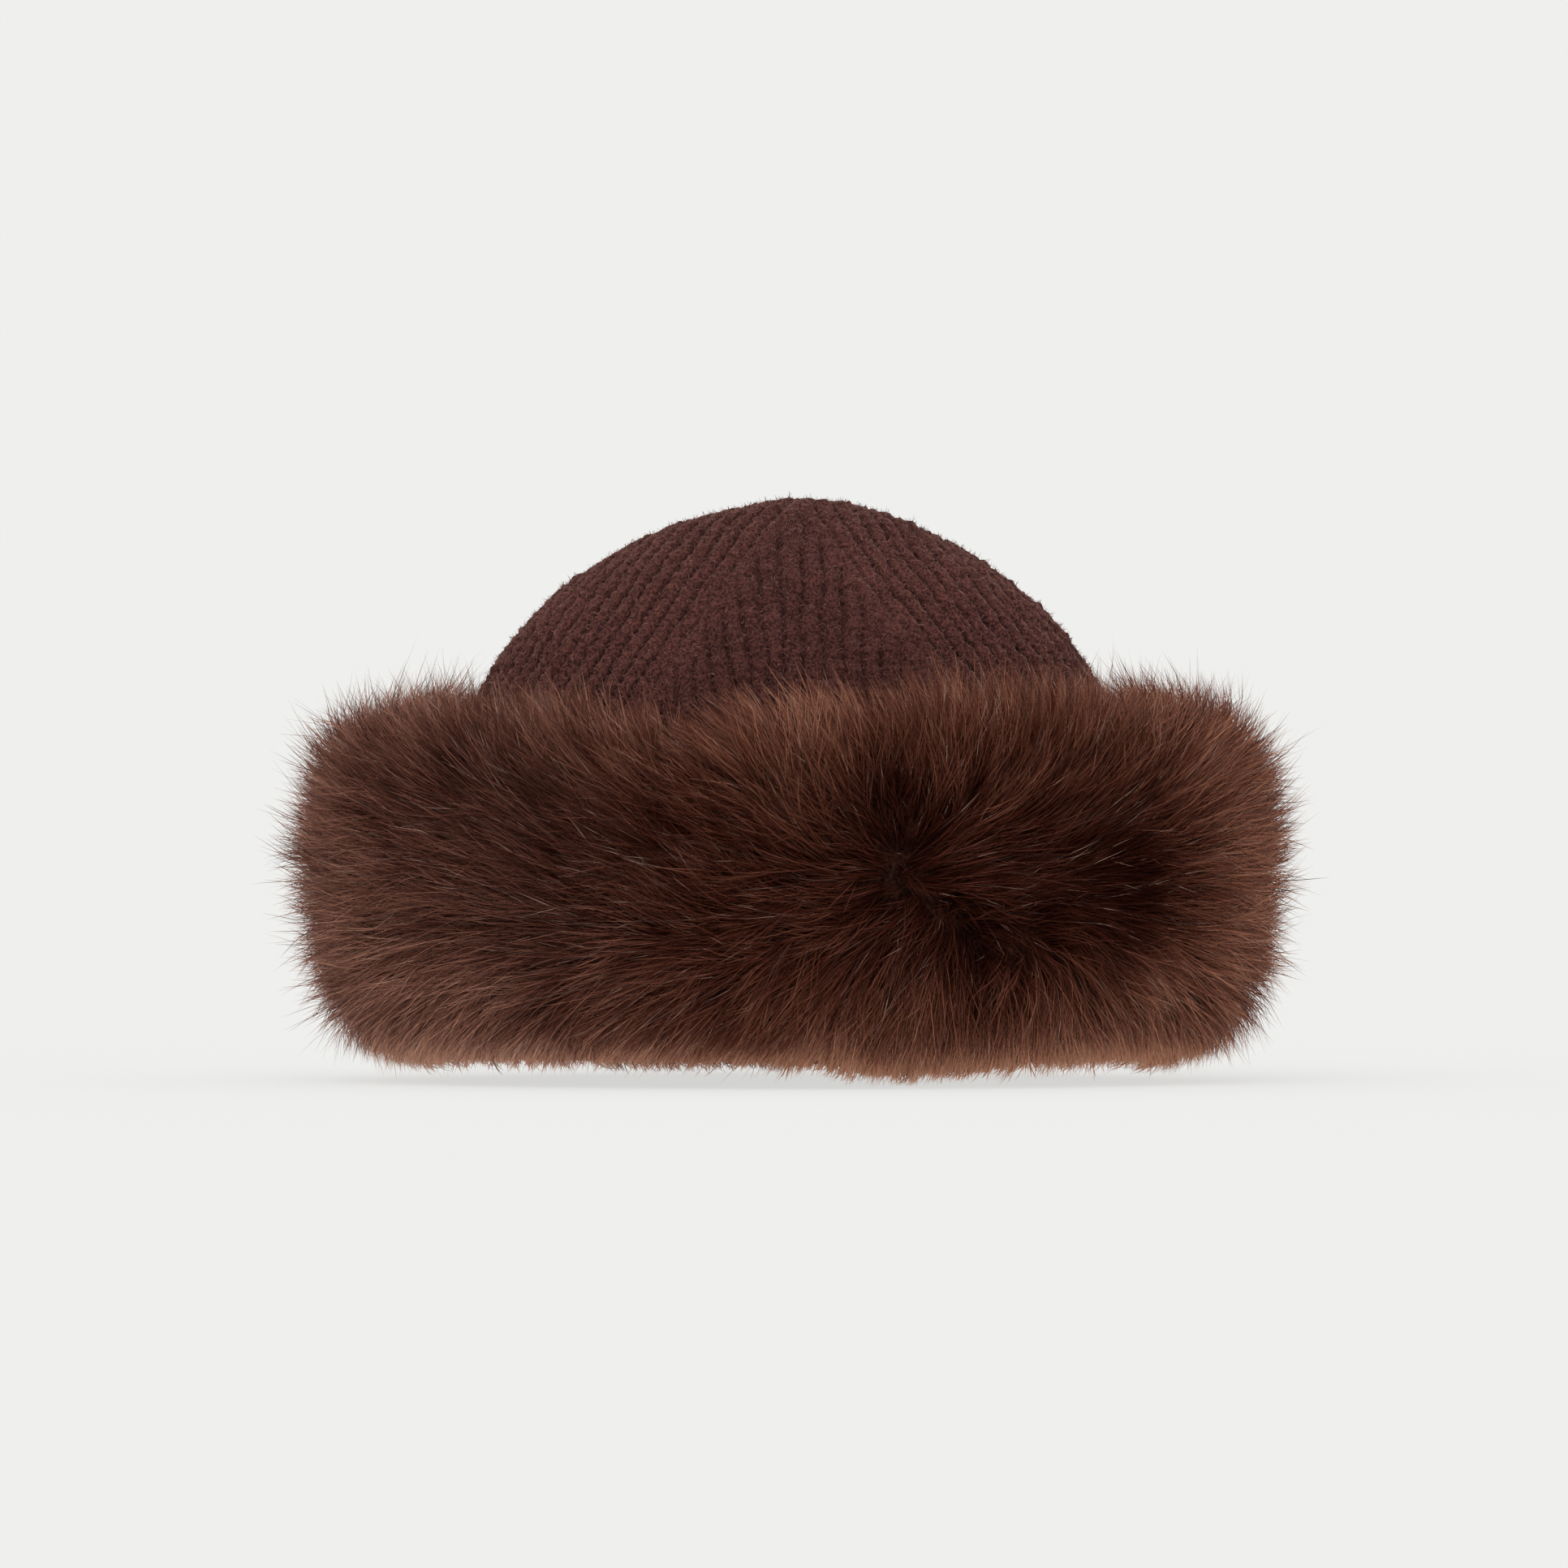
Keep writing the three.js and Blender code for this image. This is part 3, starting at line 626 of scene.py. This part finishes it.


# Fur pile
# Long modacrylic pile tufted into the backing and brushed by hand: fine hairs that lie in small locks,
# combed to the left over the left half, away from a parting and a whorl on the right, and upright on top.
# The way it is combed, read off the photograph: degrees round and mm up; the way the tips point,
# in degrees with 0 to the right and 90 up; how far it stands off the backing, in degrees; its length in mm;
# how far the row reaches, in mm; and how light it is.
# Painted shade and light in the tone: low at the partings and the whorl, as painted shade, and high towards
# the brim's top, its side edges and its hem, as painted light; the rest is the pile's own tone.
COMBED = np.array([
    (-67, 113, 148, 34, 26, 14, 0.64), (-48, 114, 145, 34, 26, 14, 0.6), (-36, 117, 130, 40, 25, 12, 0.6),
    (-25, 118, 126, 42, 25, 12, 0.62), (-17, 113, 138, 34, 25, 10, 0.5), (-60, 93, 160, 24, 27, 15, 0.42),
    (-43, 93, 157, 22, 27, 15, 0.35), (-31, 96, 151, 22, 27, 12, 0.34), (-22, 92, 148, 22, 27, 11, 0.36),
    (-15, 96, 138, 26, 26, 9, 0.36), (-11, 80, 124, 30, 26, 9, 0.42), (-7, 66, 128, 30, 26, 9, 0.4),
    (-67, 68, 171, 24, 27, 15, 0.6), (-43, 68, 162, 20, 27, 15, 0.51), (-28, 68, 158, 20, 27, 13, 0.47),
    (-17, 63, 151, 22, 27, 10, 0.41), (-67, 47, 183, 24, 27, 14, 0.62), (-48, 47, 177, 22, 27, 14, 0.52),
    (-32, 47, 171, 20, 27, 13, 0.46), (-18, 46, 174, 20, 27, 12, 0.42), (-60, 29, 205, 24, 26, 12, 0.66),
    (-43, 29, 205, 22, 26, 12, 0.62), (-31, 30, 207, 20, 26, 11, 0.54), (-22, 29, 205, 20, 26, 10, 0.46),
    (-12, 40, 192, 20, 26, 10, 0.42), (-53, 17, 226, 20, 24, 11, 0.7), (-39, 16, 235, 18, 24, 11, 0.66),
    (-25, 16, 236, 18, 24, 11, 0.58), (-12, 19, 224, 18, 25, 11, 0.52), (-5, 80, 165, 24, 26, 9, 0.44),
    (-5, 64, 180, 24, 27, 9, 0.4), (2, 67, 180, 22, 27, 9, 0.41), (1, 53, 188, 22, 27, 9, 0.42),
    (7, 62, 182, 26, 25, 8, 0.38), (-5, 101, 138, 34, 26, 9, 0.6), (-2, 112, 124, 44, 25, 9, 0.64),
    (4, 105, 118, 40, 25, 9, 0.59), (4, 88, 149, 28, 26, 9, 0.43), (8, 114, 102, 48, 25, 9, 0.6),
    (11, 103, 106, 36, 22, 7, 0.44), (9, 84, 146, 30, 22, 7, 0.36), (-2, 34, 207, 20, 26, 10, 0.47),
    (5, 34, 218, 20, 26, 9, 0.48), (-2, 19, 230, 18, 26, 10, 0.58), (8, 18, 250, 18, 27, 10, 0.6),
    (12, 41, 218, 24, 25, 9, 0.38), (15, 27, 246, 20, 26, 9, 0.48), (21, 18, 265, 18, 26, 10, 0.6),
    (14, 52, 208, 28, 24, 6, 0.34), (19, 46, 232, 26, 24, 6, 0.36), (20, 33, 250, 22, 25, 8, 0.41),
    (9, 74, 172, 26, 24, 6, 0.38), (10, 63, 190, 26, 24, 5, 0.37), (19, 66, 16, 36, 24, 5, 0.31),
    (23, 58, 24, 38, 24, 5, 0.33), (14, 92, 60, 60, 15, 6, 0.15), (18, 79, 14, 36, 24, 6, 0.28),
    (25, 74, 2, 34, 26, 7, 0.31), (33, 69, 345, 34, 25, 7, 0.32), (18, 101, 88, 40, 24, 8, 0.42),
    (21, 112, 90, 50, 25, 9, 0.58), (21, 87, 84, 40, 22, 6, 0.32), (28, 101, 85, 38, 24, 9, 0.44),
    (35, 111, 86, 50, 26, 10, 0.56), (34, 88, 78, 40, 24, 8, 0.37), (43, 102, 77, 40, 26, 9, 0.47),
    (42, 84, 72, 44, 24, 7, 0.32), (53, 105, 63, 40, 25, 10, 0.54), (52, 86, 46, 40, 25, 8, 0.38),
    (64, 102, 44, 34, 22, 12, 0.62), (64, 80, 20, 34, 26, 11, 0.6), (74, 60, 1, 30, 26, 13, 0.71),
    (60, 60, 356, 42, 25, 8, 0.4), (65, 41, 338, 32, 26, 11, 0.65), (59, 29, 315, 30, 26, 10, 0.64),
    (53, 18, 298, 22, 25, 11, 0.68), (43, 25, 282, 26, 26, 10, 0.56), (43, 38, 286, 40, 24, 7, 0.38),
    (35, 18, 270, 20, 26, 10, 0.62), (30, 48, 48, 42, 24, 6, 0.36), (35, 56, 4, 40, 24, 6, 0.38),
    (41, 45, 318, 38, 24, 6, 0.39), (29, 27, 270, 22, 26, 9, 0.46), (25, 44, 240, 60, 14, 5, 0.14),
    (25, 34, 262, 44, 18, 4, 0.2), (47, 60, 20, 62, 18, 12, 0.21),
    # The sides and the back, which the photograph hardly shows
    (95, 95, 40, 33, 25, 22, 0.6), (95, 60, 5, 28, 25, 22, 0.64), (95, 25, 320, 24, 25, 20, 0.66),
    (130, 90, 20, 28, 26, 28, 0.54), (130, 50, 350, 24, 26, 28, 0.54), (130, 20, 315, 22, 25, 24, 0.62),
    (158, 90, 325, 28, 26, 28, 0.54), (158, 50, 315, 24, 26, 28, 0.54), (158, 20, 290, 22, 25, 24, 0.62),
    (180, 90, 270, 28, 26, 24, 0.54), (180, 50, 270, 24, 26, 24, 0.54), (180, 20, 270, 22, 25, 24, 0.62),
    (-158, 90, 215, 28, 26, 28, 0.54), (-158, 50, 225, 24, 26, 28, 0.54), (-158, 20, 250, 22, 25, 24, 0.62),
    (-125, 90, 160, 28, 26, 28, 0.54), (-125, 50, 190, 24, 26, 28, 0.54), (-125, 20, 225, 22, 25, 24, 0.6),
    (-92, 95, 152, 29, 25, 20, 0.6), (-92, 60, 178, 26, 26, 20, 0.64), (-92, 25, 212, 24, 25, 18, 0.68),
], dtype=[(column, float) for column in ("at", "up", "comb", "stand", "length", "reach", "tone")])
PILE_FROM, PILE_TO = 0.01, 0.675  # the shares of the backing's section that carry pile
LOCK_SPACING = 11
WISP_SPACING = 2.3
HAIR_STEPS = 4
FLOOR_CLEAR = 0.3
FRINGE_HEIGHT = 5  # how far above the table the hem's fringe ends, before its raggedness
UPRIGHT = math.radians(66)  # how hairs stand where the ways that they are combed meet
TOP_STAND = math.radians(64)  # and along the brim's top
ROOT_LIFT = math.radians(16)  # how much steeper a hair starts, and how much flatter it ends
SURE = (0.1, 0.8)  # how long the comb's way is where ways meet, and where they agree
TABLE_OUT = 32  # the rows of the table lie this far out, in the outer part of the pile
REST_BLEND, WAY_BLEND = 1.1, 1.4  # the ways blend more widely, since hairs bend gently from one to the next
FAR_WEIGHT = 1e-7
PILE_TAPER = np.array([0.8, 1, 0.72, 0])
CELLS_ROUND, CELLS_UP = 360, 90

combed_places = brim_place(COMBED["at"], TABLE_OUT, COMBED["up"])


def row_weights(gap, blend):
    """How much each row of the table counts at a place, by the square of its distance"""
    weight = np.exp(-gap / (2 * (COMBED["reach"] * blend) ** 2)) + FAR_WEIGHT / (1 + gap)
    return weight / weight.sum(1, keepdims=True)


def combing(points):
    """The comb's way (right, up), shorter than 1 where ways meet, and the stand in radians, length and tone
    of the pile at points in mm"""
    gap = ((points[:, None] - combed_places) ** 2).sum(-1)
    weight, softer = row_weights(gap, REST_BLEND), row_weights(gap, WAY_BLEND)
    way = np.radians(COMBED["comb"])
    ways = np.stack([softer @ np.cos(way), softer @ np.sin(way)], 1)
    rest = np.radians(COMBED["stand"]), COMBED["length"], COMBED["tone"]
    stand, length, tone = (weight @ column for column in rest)
    return ways, stand, length, tone


# Every place that pile can grow from, with the area round it
cell_degrees, cell_share = np.meshgrid(
    np.linspace(-179.5, 179.5, CELLS_ROUND), np.linspace(PILE_FROM, PILE_TO, CELLS_UP)
)
cell_places = on_backing(cell_degrees, cell_share)
cell_across = on_backing(cell_degrees + 0.5, cell_share) - on_backing(cell_degrees - 0.5, cell_share)
cell_wide = np.linalg.norm(cell_across, axis=-1)
cell_odds = (cell_wide / cell_wide.sum()).ravel()


def sown(count, draw, odds):
    """Places on the pile side of the backing, drawn at random: degrees and shares of the section"""
    cell = draw.choice(odds.size, count, p=odds)
    degrees = cell_degrees.ravel()[cell] + draw.uniform(-0.5, 0.5, count)
    step = (PILE_TO - PILE_FROM) / (CELLS_UP - 1)
    return degrees, cell_share.ravel()[cell] + draw.uniform(-0.5, 0.5, count) * step


def nearest(points, centres):
    """For each point, the number of the centre that is nearest"""
    tree = KDTree(len(centres))
    for i, centre in enumerate(centres):
        tree.insert(centre, i)
    tree.balance()
    return np.array([tree.find(point)[1] for point in points])


draw = np.random.default_rng(5)
pile_area = cell_wide.sum() * np.linalg.norm(np.diff(cell_places, axis=0), axis=-1).mean()
lock_count = int(pile_area / LOCK_SPACING**2)
wisp_count = int(pile_area / WISP_SPACING**2)
lock_roots = backing_frame(*sown(lock_count, draw, cell_odds))[0]
lock_turn = draw.normal(0, math.radians(4), lock_count)
lock_stand = draw.normal(0, math.radians(3), lock_count)
lock_length = draw.normal(1, 0.05, lock_count)
lock_tone = draw.normal(0, 0.025, lock_count)

wisp_degrees, wisp_share = sown(wisp_count, draw, cell_odds)
wisp_roots, wisp_right, wisp_rising, wisp_outward = backing_frame(wisp_degrees, wisp_share)
wisp_lock = nearest(wisp_roots, lock_roots)
on_top = smooth_step(wisp_share, 0.5, 0.6)
under = 1 - smooth_step(wisp_share, 0.1, 0.18)
wisp_turn = lock_turn[wisp_lock] + draw.normal(0, math.radians(6), wisp_count)
wisp_lift = lock_stand[wisp_lock] + draw.normal(0, math.radians(4), wisp_count)
# A way of its own for each lock and wisp, which shows most in a parting, where the hairs cross each other
wisp_own_way = draw.normal(0, 0.19, (lock_count, 2))[wisp_lock] + draw.normal(0, 0.14, (wisp_count, 2))
comb, _, wisp_length, _ = combing(wisp_roots)
sure = smooth_step(np.linalg.norm(comb + wisp_own_way, axis=1), *SURE)
wisp_length = wisp_length * lock_length[wisp_lock] * draw.normal(1, 0.07, wisp_count)
wisp_length *= 1 - 0.12 * on_top
wisp_length *= 0.42 + 0.58 * smooth_step(wisp_roots[:, 2], 4, 34)  # the hem is sheared shorter
wisp_length *= 0.62 + 0.38 * sure
# Painted shade: a wisp is darker where the combed ways meet.
wisp_tone = lock_tone[wisp_lock] + draw.normal(0, 0.03, wisp_count) - 0.06 * (1 - sure)
wisp_paths = [wisp_roots]
flow = np.zeros((wisp_count, 2))
for step in range(HAIR_STEPS - 1):
    comb, stand, _, tone = combing(wisp_paths[-1])
    comb = comb + wisp_own_way
    sure = smooth_step(np.linalg.norm(comb, axis=1), *SURE)
    flow = unit(0.6 * flow + comb)
    turn_cos, turn_sin = np.cos(wisp_turn), np.sin(wisp_turn)
    right = flow[:, 0] * turn_cos - flow[:, 1] * turn_sin
    up = flow[:, 0] * turn_sin + flow[:, 1] * turn_cos
    right = right * (1 - 0.5 * on_top) * (1 - 0.4 * under)
    up = up + (0.35 - up) * on_top + (-1 - up) * 0.6 * under
    lift = stand + (UPRIGHT - stand) * (1 - sure)
    lift = lift + (TOP_STAND - lift) * on_top + wisp_lift
    lift = lift + ROOT_LIFT * (1 - step) * (1 - 0.6 * on_top)
    flat = unit(wisp_right * right[:, None] + wisp_rising * up[:, None])
    way = flat * np.cos(lift)[:, None] + wisp_outward * np.sin(lift)[:, None]
    wisp_paths.append(wisp_paths[-1] + way * (wisp_length / (HAIR_STEPS - 1))[:, None])
wisp_paths = np.stack(wisp_paths, 1)
# A wisp takes the tone of the pile where its outer part lies, and the hem, where only tips show, is painted
# lightest, as painted light from the pale table below.
wisp_tone = wisp_tone + tone + 0.42 * (1 - smooth_step(wisp_paths[:, 2, 2], 3, 16))
along = np.linspace(0, 1, HAIR_STEPS)
# The tips of a lock's wisps draw a little together, along the backing.
gather = 0.1 * along[None, :, None] * (lock_roots[wisp_lock] - wisp_roots)[:, None]
off_backing = (gather * wisp_outward[:, None]).sum(-1, keepdims=True) * wisp_outward[:, None]
wisp_paths = wisp_paths + gather - off_backing
wisp_hang = draw.normal(0, 0.9, wisp_count)  # how much sooner or later each wisp ends at the hem


def grown_hairs(count, draw, odds, spread, length, pull):
    """Hairs drawn at random, each in its wisp: their paths, the backing's way out, and their wisps' numbers.
    spread is how far they stray and length how long they are, as shares of their wisp's length, and pull is
    how far their tips draw in to the wisp."""
    degrees, share = sown(count, draw, odds)
    roots, _, _, outward = backing_frame(degrees, share)
    wisp = nearest(roots, wisp_roots)
    shape = wisp_paths[wisp] - wisp_roots[wisp][:, None]
    to_wisp = (wisp_roots[wisp] - roots)[:, None]
    stray = draw.normal(0, spread, (count, 1, 3)) * wisp_length[wisp][:, None, None]
    own_length = draw.uniform(*length, (count, 1, 1))
    paths = roots[:, None] + shape * own_length + along[:, None] ** 1.3 * (pull * to_wisp + stray)
    # A hair that would reach the table ends a little above it, so that the hem is a ragged fringe.
    lowest = paths[..., 2].min(1)
    ragged = FRINGE_HEIGHT + 1.3 * rise_of(HEM_EDGE, degrees)
    ragged = ragged + 1.2 * waves(roots * [1, 1, 0], 14, 31) + 1.3 * waves(roots * [1, 1, 0], 4.5, 32)
    cut = FLOOR_CLEAR + np.maximum(ragged + wisp_hang[wisp] + draw.normal(0, 0.9, count), 0)
    cut = np.minimum(cut, np.maximum(roots[:, 2] - 0.8, FLOOR_CLEAR))
    room = (roots[:, 2] - cut) / np.maximum(roots[:, 2] - lowest, 0.01)
    kept = np.where(lowest < cut, np.clip(room, 0.2, 1), 1)
    paths = roots[:, None] + (paths - roots[:, None]) * kept[:, None, None]
    paths[..., 2] = np.maximum(paths[..., 2], np.minimum(cut, FLOOR_CLEAR + 1)[:, None])
    return paths, outward, wisp


def hair_mesh(name, count, draw, odds, spread, length, pull, width):
    """Grown hairs as one mesh, each with its own draw and its wisp's tone"""
    paths, outward, wisp = grown_hairs(count, draw, odds, spread, length, pull)
    shares = np.stack(np.broadcast_arrays(
        along, draw.uniform(size=(count, 1)), np.clip(wisp_tone[wisp], 0, 1)[:, None]
    ), -1)
    return strand_mesh(
        name, paths, draw.uniform(0.75, 1.25, count) * width, draw.uniform(-0.9, 0.9, count), outward,
        PILE_TAPER, shares,
    )


# Modacrylic pile: a slightly glossy man-made hair, nearly black at the root and paler towards its tip, partly
# its own colour and partly painted shade for the shade deep in the pile, so that edges and upstanding tips
# look light and parted places dark.
pile, pile_shader = new_material("modacrylic_pile")
pile_strand = strand_shares(pile)
# Painted shade and light: each hair is darker towards its root and lighter towards its tip, and its wisp's
# tone adds painted shade in the partings and painted light at the brim's edges and hem.
pile_light = add_node(pile, "Math", {"operation": "MULTIPLY_ADD", 1: 0.26}, {
    0: pile_strand[0], 2: pile_strand[2]
})
pile_light = add_node(pile, "Math", {"operation": "MULTIPLY_ADD", 1: 0.38}, {
    0: pile_strand[1], 2: pile_light.outputs[0]
})
pile_light = add_node(pile, "Math", {"operation": "SUBTRACT", 1: 0.33}, {0: pile_light.outputs[0]})
pile_ramp = add_node(pile, "ValToRGB", links={0: pile_light.outputs[0]})
PILE_COLOURS = [
    (0.0, "#190704"), (0.3, "#2e0f08"), (0.45, "#451f14"),
    (0.6, "#62392d"), (0.75, "#885644"), (1.0, "#c89276"),
]
stops = pile_ramp.color_ramp.elements
while len(stops) < len(PILE_COLOURS):
    stops.new(0.5)
for stop, (place, code) in zip(stops, PILE_COLOURS):
    stop.position = place
    stop.color = colour(code)
# Painted sheen: the left of the brim is painted a cooler, greyer brown than the rest.
pile_place = add_node(pile, "SeparateXYZ", links={0: add_node(pile, "TexCoord").outputs["Object"]})
pile_painted_sheen = add_node(pile, "MapRange", {"From Min": -0.03, "From Max": -0.08, "To Max": 0.27}, {
    0: pile_place.outputs[0]
})
pile_colour = add_node(pile, "HueSaturation", {"Saturation": 0.72}, {
    "Fac": pile_painted_sheen.outputs[0], "Color": pile_ramp.outputs[0]
})
pile.node_tree.links.new(pile_colour.outputs[0], pile_shader.inputs["Base Color"])
pile_shader.inputs["Roughness"].default_value = 0.5
pile_shader.inputs["Specular IOR Level"].default_value = 0.08
pile_shader.inputs["Specular Tint"].default_value = colour("#e0b8a4")

# The pile is made in four parts: from and to which degree each goes, and how many hairs it has
PILE_PARTS = {
    "fur_pile_front_left": (-90, 0, 39500), "fur_pile_front_right": (0, 90, 39500),
    "fur_pile_back_right": (90, 180, 24000), "fur_pile_back_left": (-180, -90, 24000),
}
for number, (name, (low, high, hairs)) in enumerate(PILE_PARTS.items()):
    odds = np.where((cell_degrees > low) & (cell_degrees < high), cell_wide, 0).ravel()
    part_draw = np.random.default_rng(50 + number)
    mesh = hair_mesh(
        name, hairs, part_draw, odds / odds.sum(), spread=0.14, length=(0.7, 1.12), pull=0.16, width=0.28
    )
    put_in_place(name, mesh, pile, "fur_brim")


# Guard hairs
# A few longer, finer and glossier hairs spread through the pile, and strays that brushing has pulled out
# past its edge. They are the bright single lines in the photograph.
GUARD_HAIRS = 9500
guard_mesh = hair_mesh(
    "fur_guard_hairs", GUARD_HAIRS, np.random.default_rng(77), cell_odds,
    spread=0.19, length=(0.84, 1.16), pull=0.1, width=0.14,
)

# Guard hair: the same fibre, left shiny, and painted pale towards the tips of many, as a painted glint.
guard, guard_shader = new_material("glossy_guard_hair")
guard_strand = strand_shares(guard)
guard_place = add_node(guard, "Math", {"operation": "MULTIPLY_ADD", 1: 0.4}, {
    0: guard_strand[1], 2: guard_strand[0]
})
guard_painted_glint = add_node(guard, "MapRange", {
    "interpolation_type": "SMOOTHSTEP", "From Min": 1.03, "From Max": 1.1,
}, {0: guard_place.outputs[0]})
guard_colour = add_node(guard, "Mix", {"data_type": "RGBA", 6: colour("#45261b"), 7: colour("#c4a290")}, {
    0: guard_painted_glint.outputs[0]
})
guard.node_tree.links.new(guard_colour.outputs[2], guard_shader.inputs["Base Color"])
guard_shader.inputs["Roughness"].default_value = 0.28
put_in_place("fur_guard_hairs", guard_mesh, guard, "fur_brim")


# Studio
# A pale table that runs on to the pale backdrop without an edge, under soft light from all sides and a
# wide soft lamp high in front and a little to the left.
BACKDROP = "#efefed"
TABLE_RADIUS = 60
KEY_STRENGTH = 0.9
KEY_SIZE = math.radians(50)
KEY_WAY = Vector((-0.25, -0.84, 1.0)).normalized()
TABLE_GLOW = 0.75

table_sheet = bmesh.new()
bmesh.ops.create_circle(table_sheet, cap_ends=True, segments=96, radius=TABLE_RADIUS)
table_mesh = bpy.data.meshes.new("table")
table_sheet.to_mesh(table_mesh)
table_sheet.free()
table = bpy.data.objects.new("table", table_mesh)
bpy.context.scene.collection.objects.link(table)

backdrop = colour(BACKDROP)
studio_world = bpy.data.worlds.new("studio")
studio_world.use_nodes = True
studio_world.node_tree.nodes["Background"].inputs["Color"].default_value = backdrop
bpy.context.scene.world = studio_world

key = bpy.data.objects.new("key_light", bpy.data.lights.new("key_light", "SUN"))
key.data.energy = KEY_STRENGTH
key.data.angle = KEY_SIZE
key.rotation_euler = KEY_WAY.to_track_quat("Z", "Y").to_euler()
bpy.context.scene.collection.objects.link(key)

# Matt white acrylic lit from below, as in a product studio, so that the cap throws only a faint shadow. Its
# own light and what it takes from both lamps come to the backdrop's colour.
table_paint, table_shader = new_material("lit_white_acrylic")
key_share = KEY_STRENGTH * KEY_WAY.z / math.pi
reflected = [(1 - TABLE_GLOW) * c / (c + key_share) for c in backdrop[:3]]
table_shader.inputs["Base Color"].default_value = reflected + [1]
table_shader.inputs["Emission Color"].default_value = backdrop
table_shader.inputs["Emission Strength"].default_value = TABLE_GLOW
table_shader.inputs["Roughness"].default_value = 1
table_shader.inputs["Specular IOR Level"].default_value = 0
table_mesh.materials.append(table_paint)

bpy.context.scene.view_settings.view_transform = "Standard"
